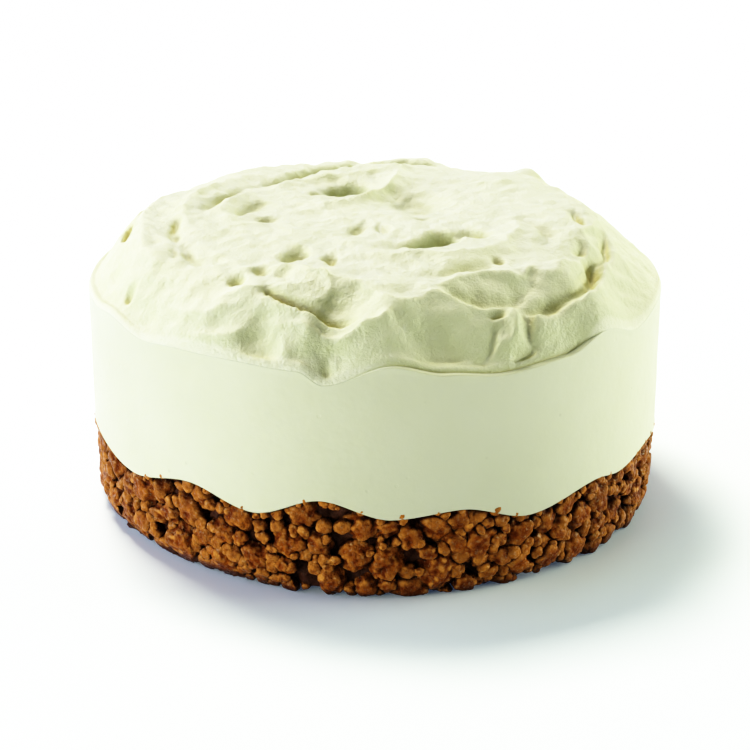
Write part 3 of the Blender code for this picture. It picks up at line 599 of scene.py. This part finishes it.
def topping_look():
    """Whipped cream, with painted shade on its steep flanks, in its broad hollows and deep in its crevices.
    """
    look = Looks("whipped_cream", 0.5)
    look.shader.inputs["Specular IOR Level"].default_value = 0.4
    cloud = look.noise(9, 4)
    tone = look.mix(look.ramp(cloud, 0.35, 0.7), (0.581, 0.581, 0.424), (0.607, 0.602, 0.457))
    # Painted shade: darker, yellower cream in the broad hollows
    shade = look.mix(look.hidden(12, 0.50, 0.90), tone, (0.483, 0.514, 0.244))
    within = look.within(39.5, 39.2)
    # Painted shade on the steep flanks, kept off the lip
    flank = look.mix(look.times(look.steep(0.80, 0.30), within), shade, (0.485, 0.503, 0.305))
    # Painted shade: tan deep in the narrow crevices
    look.colour(look.mix(look.times(look.hidden(3.0, 0.40, 0.85), within), flank, (0.57, 0.51, 0.24)))
    skin = look.sum(look.noise(0.45, 3, 0.7), look.noise(1.5, 4), 1.2)
    look.bump(skin, 0.20, 0.9)
    look.subsurface(0.15, (0.9, 0.9, 0.4))
    return look.material


def crumb_look(name, dark, light, roughness):
    """Baked crumb: grainy, with painted highlight on its knobs, painted shade in the crevices, and specks of
    fatty sheen.
    """
    look = Looks(name, roughness)
    sheen = look.ramp(look.noise(0.45, 3, 0.6), 0.55, 0.68, 0.05, 0.9)
    look.link(sheen, look.shader.inputs["Specular IOR Level"])
    look.shader.inputs["Specular Tint"].default_value = (1, 0.82, 0.5, 1)
    geometry = look.tree.nodes.new("ShaderNodeNewGeometry")
    clump = look.cells(0.9)
    tint = look.sum(look.ramp(geometry.outputs["Random Per Island"], 0, 1, 0.0, 0.5),
                    look.ramp(clump.outputs["Color"], 0.15, 0.85), 0.5)
    body = look.mix(tint, dark, light)
    stain = look.mix(look.ramp(look.noise(1.6, 5, 0.65), 0.35, 0.68), (0.095, 0.018, 0.002), body)
    # Painted highlight: a lighter, yellower colour on the convex knobs
    knob_highlight = look.ramp(geometry.outputs["Pointiness"], 0.50, 0.60, 0.0, 0.85)
    knob_lit = look.mix(knob_highlight, stain, (0.54, 0.225, 0.050))
    grain = look.cells(0.7).outputs["Distance"]
    flour = look.ramp(look.noise(0.8, 4, 0.7), 0.60, 0.74, 0.0, 0.35)
    floury = look.mix(flour, knob_lit, (0.42, 0.20, 0.050))
    # Painted shade: near-black deep in the crevices
    look.colour(look.mix(look.hidden(2.4, 0.32, 0.86), floury, (0.026, 0.005, 0.003)))
    relief = look.sum(look.noise(0.35, 4, 0.6), grain, -0.8)
    look.bump(relief, 0.26, 1.0)
    return look.material


def core_shade_look():
    """Crumb seen in the gaps, painted near-black as the shade between the crumbs."""
    look = Looks("crumb_core", 0.7)
    look.shader.inputs["Specular IOR Level"].default_value = 0.2
    look.colour(look.mix(look.noise(1.2, 4), (0.012, 0.003, 0.001), (0.06, 0.013, 0.002)))
    look.bump(look.noise(0.5, 4), 0.2)
    return look.material


# Crumb base


def is_clear(angle, height, size, others, closeness):
    """Whether a crumb keeps far enough from all the others."""
    for other_angle, _, other_height, other_size in others:
        across = math.radians((angle - other_angle + 180) % 360 - 180) * CRUMB_RING
        if math.hypot(across, height - other_height) < (size + other_size) * closeness:
            return False
    return True


def crumb_layout():
    """Crumbs pressed round the side as angle, radius, height, size, largest first, none far over another."""
    draw = random.Random(BASE_SEED)
    placed = []
    for count, least, most, closeness in CRUMB_KINDS:
        tries = 0
        wanted = len(placed) + count
        while len(placed) < wanted and tries < CRUMB_TRIES:
            tries += 1
            size = draw.uniform(least, most)
            angle = draw.uniform(0, 360)
            roof = float(heights_around(LOWER_TURNS, [angle])[0])
            height = draw.uniform(size * 0.55, roof - size * 0.75)
            radius = CAKE_RADIUS - 0.25 - size * draw.uniform(0.72, 0.95)
            if height < LEAN_BELOW:
                radius -= (LEAN_BELOW - height) * 0.45
            if is_clear(angle, height, size, placed, closeness):
                placed.append((angle, radius, height, size))
    return placed


def grain_layout(placed):
    """Fine crumbs in the gaps between the others."""
    draw = random.Random(BASE_SEED + 1)
    grains = []
    tries = 0
    while len(grains) < GRAIN_COUNT and tries < GRAIN_TRIES:
        tries += 1
        size = draw.uniform(*GRAIN_SIZES)
        angle = draw.uniform(0, 360)
        roof = float(heights_around(LOWER_TURNS, [angle])[0])
        height = draw.uniform(size * 0.4, roof - size * 0.4)
        radius = 39.6 - size * draw.uniform(0.75, 1.2)
        if height < LEAN_BELOW:
            radius -= (LEAN_BELOW - height) * 0.5
        if is_clear(angle, height, size, placed + grains, GRAIN_CLOSENESS):
            grains.append((angle, radius, height, size))
    return grains


def pressed(values, limits, room):
    """Values kept under limits, easing up to them over the room below."""
    over = np.maximum(values - (limits - room), 0)
    return np.where(over > 0, limits - room * np.exp(-over / room), values)


def ball(subdivisions):
    """Directions and faces of a ball made of triangles."""
    shape = bmesh.new()
    bmesh.ops.create_icosphere(shape, subdivisions=subdivisions, radius=1)
    directions = [vertex.co.normalized() for vertex in shape.verts]
    faces = np.array([[vertex.index for vertex in face.verts] for face in shape.faces])
    shape.free()
    return directions, faces


def crumb_points(seed, place, directions, roughness):
    """Vertices of one crumb: a lumpy ball, cut blunt on some sides, with a grainy skin."""
    angle, radius, height, size = place
    draw = random.Random(seed)
    turn = draw.uniform(0, math.tau)
    axis = Vector((draw.random(), draw.random(), draw.random() + 0.1))
    turned = Matrix.Rotation(turn, 3, axis)
    stretch = Vector((draw.uniform(0.85, 1.2), draw.uniform(0.85, 1.15), draw.uniform(0.75, 1.0)))
    shift = Vector((draw.uniform(0, 50), draw.uniform(0, 50), draw.uniform(0, 50)))
    centre = Vector((radius * math.cos(math.radians(angle)), radius * math.sin(math.radians(angle)), height))
    cuts = []
    for _ in range(BLUNT_SIDES):
        facing = Vector((draw.gauss(0, 1), draw.gauss(0, 1), draw.gauss(0, 1))).normalized()
        cuts.append((facing, draw.uniform(0.84, 1.0)))
    points = []
    for direction in directions:
        swell = 1 + 0.26 * noise.noise(direction * 1.7 + shift)
        for facing, depth in cuts:
            along = direction.dot(facing)
            if along * swell > depth:
                swell = depth / along + 0.25 * (swell - depth / along)
        surface = direction * size
        knobs = 0.5 - noise.voronoi(surface / 1.9 + shift)[0][0] ** 2
        grains = 0.5 - noise.voronoi(surface / 0.8 - shift)[0][0] ** 2
        fine = noise.noise(surface / 0.35 - shift)
        swell += roughness * (0.55 * knobs + 0.50 * grains + 0.10 * fine) / size
        points.append(centre + size * swell * (turned @ (direction * stretch)))
    points = np.array(points)
    beyond = np.hypot(points[:, 0], points[:, 1]).max() - CAKE_RADIUS
    if beyond > 0:
        outward = np.array((math.cos(math.radians(angle)), math.sin(math.radians(angle)), 0))
        points -= DRAWN_IN * beyond * outward
    return points


def press_crumbs(points):
    """Crumbs pressed flush with the side, and kept clear of the floor and the filling."""
    reach = np.hypot(points[:, 0], points[:, 1])
    turn = np.degrees(np.arctan2(points[:, 1], points[:, 0])) % 360
    lean = 0.35 + 0.45 * eased(190, 212, turn) * (1 - eased(240, 262, turn))
    foot = lean * np.clip(FOOT_HEIGHT - points[:, 2], 0, FOOT_HEIGHT)
    inside = pressed(reach, CAKE_RADIUS - 0.05 - foot, PRESSED)
    points[:, :2] *= (inside / reach)[:, None]
    points[:, 2] = pressed(points[:, 2], base_top(turn, inside) + 0.1, 0.3)
    points[:, 2] = -pressed(-points[:, 2], -0.05, 0.4)
    return points


def edge_layout():
    """Fine crumbs caught on the lower edge of the cream, each half sunk in it."""
    draw = random.Random(BASE_SEED + 2)
    caught = []
    for _ in range(EDGE_COUNT):
        size = draw.uniform(*EDGE_SIZES)
        angle = draw.uniform(0, 360)
        height = float(base_top(np.array([angle]), CAKE_RADIUS)[0]) + draw.uniform(-0.5, 0.35)
        caught.append((angle, CAKE_RADIUS - size * draw.uniform(0.45, 0.8), height, size))
    return caught


def crumbs(name, places, first_seed, subdivisions, roughness, material, press=press_crumbs):
    """One mesh of the crumbs at some places."""
    directions, faces = ball(subdivisions)
    every_point = []
    every_face = []
    for index, place in enumerate(places):
        every_face.append(faces + len(directions) * index)
        every_point.append(crumb_points(first_seed + index, place, directions, roughness))
    thing = new_mesh(name, press(np.vstack(every_point)), np.vstack(every_face).tolist())
    thing.data.materials.append(material)
    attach(thing, "root")
    return thing


def crumb_core():
    """Packed crumb behind the separate crumbs, coloured near-black as painted shade in the gaps."""
    angles = np.arange(720) * 0.5
    heights = [0.0, 0.5]
    radii = [CORE_RADIUS - 2.2, CORE_RADIUS - 1.2]
    levels = np.linspace(0.08, 0.96, 34)
    roof = base_top(angles, CORE_RADIUS) - 0.25
    for level in levels:
        ring = around(angles, 38, level * roof)
        heights.append(level * roof)
        radii.append(CORE_RADIUS + 0.1 + 0.9 * noise_at(ring, 1.5, 3) + 0.5 * noise_at(ring, 0.6, 8))
    heights.append(roof)
    radii.append(CORE_RADIUS - 0.2)
    heights.append(base_top(angles, BASE_BLEND_INNER) - 0.25)
    radii.append(BASE_BLEND_INNER)
    vertices, faces = turned_body(angles, radii, heights)
    thing = new_mesh("crumb_core", vertices, faces)
    thing.data.materials.append(core_shade_look())
    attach(thing, "root")
    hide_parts("crumb_base")
    return thing


# Filling


def filling_body():
    """Wall of the filling between its two wavy edges, closed above and below."""
    angles = np.arange(WALL_AROUND) * 360 / WALL_AROUND
    lower = base_top(angles, CAKE_RADIUS)
    upper = filling_top(angles, CAKE_RADIUS)
    radii = [BASE_BLEND_INNER, CORE_RADIUS - 1]
    heights = [base_top(angles, BASE_BLEND_INNER), base_top(angles, CORE_RADIUS - 1)]
    for turn in np.linspace(-90, 0, 7):
        radii.append(CAKE_RADIUS - RIM_ROUND + RIM_ROUND * math.cos(math.radians(turn)))
        heights.append(lower + RIM_ROUND * (1 + math.sin(math.radians(turn))))
    for share in np.linspace(0, 1, 50)[1:-1]:
        level = lower + RIM_ROUND + (upper - lower - 2 * RIM_ROUND) * share
        ring = around(angles, CAKE_RADIUS, level)
        radii.append(CAKE_RADIUS - 0.06 + 0.05 * noise_at(ring, 6.0, 2) + 0.02 * noise_at(ring, 1.6, 5))
        heights.append(level)
    for turn in np.linspace(0, 90, 7):
        radii.append(CAKE_RADIUS - RIM_ROUND + RIM_ROUND * math.cos(math.radians(turn)))
        heights.append(upper - RIM_ROUND * (1 - math.sin(math.radians(turn))))
    for radius in (38.6, RIM_BLEND_OUTER, 34.5, RIM_BLEND_INNER):
        radii.append(radius)
        heights.append(filling_top(angles, radius))
    vertices, faces = turned_body(angles, radii, heights)
    thing = new_mesh("filling_body", vertices, faces)
    thing.data.materials.append(filling_look())
    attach(thing, "root")
    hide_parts("filling")
    return thing


# Whipped topping


def topping_body():
    """Rings over the whole top, finer toward the bank, then the lip and the flat underside."""
    angles = np.arange(TOPPING_AROUND) * 360 / TOPPING_AROUND
    inner = np.arange(0.6, 28.0, 0.42)
    outer = np.arange(28.0, TOPPING_RADIUS - 0.1, 0.24)
    radii = list(inner) + list(outer) + [TOPPING_RADIUS]
    plan = np.vstack([around(angles, radius, 0)[:, :2] for radius in radii])
    heights = topping_top(plan)
    reach = np.hypot(plan[:, 0], plan[:, 1])
    keep = 1 - eased(TOPPING_RADIUS - 1.2, TOPPING_RADIUS - 0.2, reach)
    outward = plan / np.maximum(reach, 0.1)[:, None]
    streaks = np.column_stack((outward * 6, reach / 1.1))
    streaky = keep * eased(4, 12, reach)
    solid = np.column_stack((plan, heights))
    wrinkles = 0.5 - np.abs(noise_at(streaks, 1.9, 4)) * 2
    folds = 0.5 - np.abs(noise_at(solid, 4.2, 6)) * 2
    broad, fine = UNEVEN_HEIGHTS
    uneven = broad[0] * noise_at(solid, broad[1], 6) + fine[0] * noise_at(solid, fine[1], 9)
    heights = heights + STREAK_HEIGHT * streaky * wrinkles
    heights = heights + keep * (FOLD_HEIGHT * folds + uneven)
    drawn_in = LIP_DRAWN_IN * eased(262, 280, angles) * (1 - eased(311, 318, angles))
    pulled = np.tile(drawn_in, len(radii)) * eased(TOPPING_RADIUS - 2.6, TOPPING_RADIUS, reach)
    vertices = np.column_stack((plan - outward * pulled[:, None], heights))
    count = TOPPING_AROUND
    faces = ring_faces(0, count, len(radii))
    faces = [face[::-1] for face in faces]
    faces.append(list(range(count)))
    under = []
    for beyond, lift in LIP:
        radius = TOPPING_RADIUS + beyond
        under.append(around(angles, radius - drawn_in, filling_top(angles, radius) + lift))
    first = len(vertices) - count
    vertices = np.vstack([vertices] + under)
    faces += [face[::-1] for face in ring_faces(first, count, len(under) + 1)]
    faces.append([len(vertices) - 1 - i for i in range(count)])
    thing = new_mesh("topping_body", vertices, faces)
    thing.data.materials.append(topping_look())
    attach(thing, "root")
    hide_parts("whipped_topping")
    return thing


placed = crumb_layout()
large = [place for place in placed if place[3] > LARGE_OVER]
middling = [place for place in placed if MIDDLING_OVER < place[3] <= LARGE_OVER]
small = [place for place in placed if place[3] <= MIDDLING_OVER]
crumb_core()
baked = crumb_look("baked_crumb", (0.115, 0.021, 0.002), (0.35, 0.096, 0.009), 0.34)
crumbs("large_crumbs", large, BASE_SEED * 1000, 5, 1.0, baked)
crumbs("middling_crumbs", middling, BASE_SEED * 1000 + len(large), 4, 1.0, baked)
crumbs("small_crumbs", small, BASE_SEED * 1000 + len(large) + len(middling), 4, 0.8, baked)
pale = crumb_look("pale_crumb", (0.14, 0.028, 0.003), (0.39, 0.120, 0.014), 0.34)
crumbs("fine_crumbs", grain_layout(placed), GRAIN_SEED, 3, 0.8, pale)
crumbs("edge_crumbs", edge_layout(), EDGE_SEED, 3, 0.3, pale, np.array)
filling_body()
topping_body()


# Floor, light and camera


def floor():
    """A plain pale floor with a faint blue glow, painted light that lifts and blues its shadows."""
    bpy.ops.mesh.primitive_plane_add(size=FLOOR_SIZE, location=(0, 0, 0))
    plane = bpy.context.object
    plane.name = "floor"
    material = bpy.data.materials.new("floor_white")
    material.use_nodes = True
    shader = material.node_tree.nodes["Principled BSDF"]
    shader.inputs["Base Color"].default_value = (0.905, 0.95, 0.98, 1)
    shader.inputs["Emission Color"].default_value = (0.4, 0.6, 1, 1)
    shader.inputs["Emission Strength"].default_value = FLOOR_GLOW
    shader.inputs["Roughness"].default_value = 0.9
    shader.inputs["Specular IOR Level"].default_value = 0.1
    plane.data.materials.append(material)


def softbox(name, place, size, energy, colour):
    """A rectangular light turned toward the cake."""
    light = bpy.data.lights.new(name, "AREA")
    light.shape = "RECTANGLE"
    light.size = size[0]
    light.size_y = size[1]
    light.energy = energy
    light.color = colour
    lamp = bpy.data.objects.new(name, light)
    lamp.location = place
    lamp.rotation_euler = (Vector(LIGHT_AIM) - Vector(place)).to_track_quat("-Z", "Y").to_euler()
    bpy.context.scene.collection.objects.link(lamp)


def tone_curve(view):
    """Bright tones ease off toward white and dark ones deepen, as in the photograph."""
    view.use_curve_mapping = True
    mapping = view.curve_mapping
    mapping.white_level = (FILM_WHITE, FILM_WHITE, FILM_WHITE)
    curve = mapping.curves[3]
    for step in range(1, FILM_STEPS):
        level = (step / FILM_STEPS) ** 1.5
        curve.points.new(level, (1 - (1 - level) ** FILM_SHOULDER) ** FILM_TOE)
    mapping.update()


def camera():
    """The camera, level from side to side and pitched down at the cake."""
    view = bpy.data.cameras.new("camera")
    view.sensor_width = 36
    view.lens = 18 / math.tan(math.radians(CAMERA_FIELD / 2))
    view.clip_start = 0.01
    eye = bpy.data.objects.new("camera", view)
    pitch = math.radians(CAMERA_PITCH)
    eye.location = (0, -CAMERA_DISTANCE * math.cos(pitch) * MM,
                    (CAMERA_AIM_HEIGHT + CAMERA_DISTANCE * math.sin(pitch)) * MM)
    eye.rotation_euler = (math.radians(90) - pitch, 0, 0)
    bpy.context.scene.collection.objects.link(eye)
    bpy.context.scene.camera = eye


floor()
for box in SOFTBOXES:
    softbox(*box)
world = bpy.data.worlds.new("studio")
world.use_nodes = True
world.node_tree.nodes["Background"].inputs["Strength"].default_value = 0.0
bpy.context.scene.world = world
bpy.context.scene.view_settings.view_transform = "Standard"
tone_curve(bpy.context.scene.view_settings)
camera()
